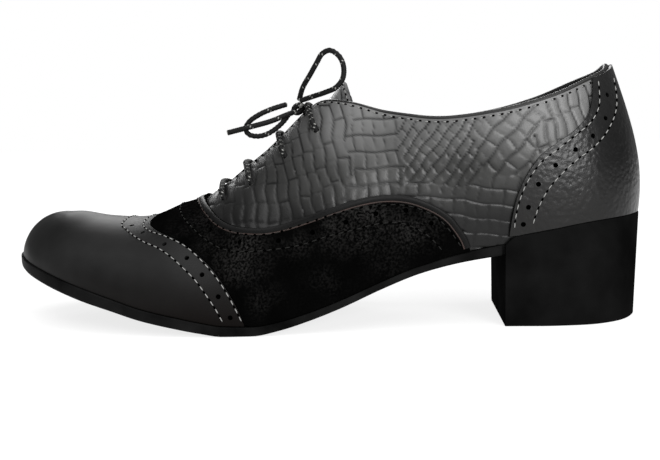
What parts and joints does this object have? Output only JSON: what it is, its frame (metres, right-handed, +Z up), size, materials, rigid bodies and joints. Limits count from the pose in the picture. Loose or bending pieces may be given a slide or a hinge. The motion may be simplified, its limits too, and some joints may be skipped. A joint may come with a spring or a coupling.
{
  "type": "heeled oxford shoe",
  "caption": "Woman's laced oxford, left shoe, with a wing toe cap, curved vamp, heel counter, tied bow and a square-cut block heel.",
  "frame": {"origin": "on the floor under the middle of the shoe's box, laces left out", "axes": "+Z up, toe along -X, heel along +X, outer side of the foot along -Y"},
  "size_m": [0.2542, 0.0872, 0.107],
  "materials": {
    "sole": "matt black, thin sole",
    "heel": "matt black, smooth",
    "lining": "smooth dark lining and sock",
    "quarter": "glossy grey with an embossed reptile scale pattern",
    "tongue": "glossy grey with an embossed reptile scale pattern",
    "toe_cap": "smooth dark grey, soft shine",
    "vamp": "black with a short speckled nap",
    "counter": "dark grey with a pebbled grain, soft shine",
    "lace": "round black braid with light flecks"
  },
  "bodies": {
    "root": {"outsole": "sole", "heel": "heel", "insole": "lining", "upper": "quarter", "tongue": "tongue", "toe_cap": "toe_cap", "vamp": "vamp", "counter": "counter", "lace_bar_1": "lace", "lace_bar_2": "lace", "lace_bar_3": "lace", "lace_bar_4": "lace", "lace_knot": "lace", "lace_loop_up": "lace", "lace_loop_front": "lace", "lace_end_near": "lace", "lace_end_far": "lace"}
  },
  "joints": []
}
